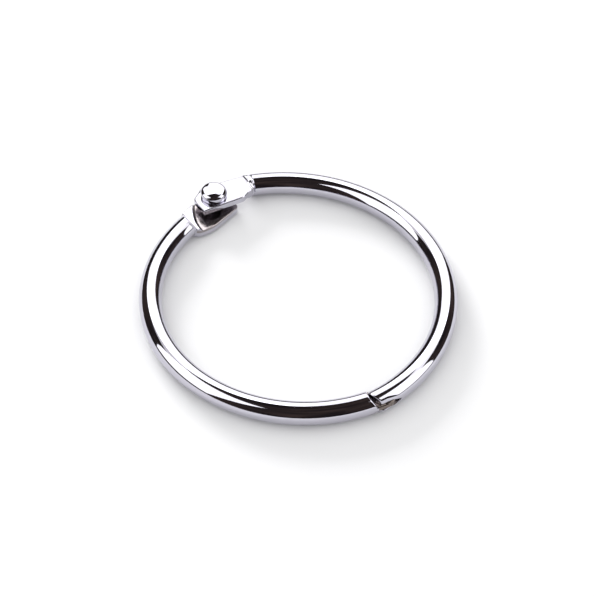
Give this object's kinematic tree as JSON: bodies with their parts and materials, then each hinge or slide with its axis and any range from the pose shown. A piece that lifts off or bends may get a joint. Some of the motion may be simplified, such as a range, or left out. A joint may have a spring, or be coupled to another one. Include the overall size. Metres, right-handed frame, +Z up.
{
  "type": "binder ring",
  "caption": "Hinged loose-leaf binder ring of plated round wire, with overlapping flat tabs held shut by a snap stud.",
  "frame": {"origin": "middle of the closed ring's bounding box in plan, on the surface the ring lies on, at the round wire's underside", "axes": "+X across the ring towards the half that carries the stud and upper tab, +Y from the hinge towards the clasp, +Z up, square to the ring's plane and towards the stud's head"},
  "size_m": [0.0296, 0.032, 0.0029],
  "materials": {
    "plated_wire": "bright nickel plate over steel wire, mirror smooth",
    "plated_stud": "bright nickel plate over turned steel",
    "hinge_pin": "bright nickel plate over a headed-flush steel pin"
  },
  "bodies": {
    "left": {"left_half": "plated_wire"},
    "pin": {"hinge_pin": "hinge_pin"},
    "right": {"right_half": "plated_wire", "clasp_stud": "plated_stud"}
  },
  "joints": [
    {"name": "swing", "type": "hinge", "parent": "left", "child": "pin", "pos_m": [-0.00025, -0.01488, 0.00108], "axis": [0, 0, -1], "range_deg": [0, 100]},
    {"name": "release", "type": "hinge", "parent": "pin", "child": "right", "pos_m": [-0.00025, -0.01488, 0.00108], "axis": [1, 0, 0], "range_deg": [0, 2], "stiffness_Nm_per_rad": 0.02}
  ]
}
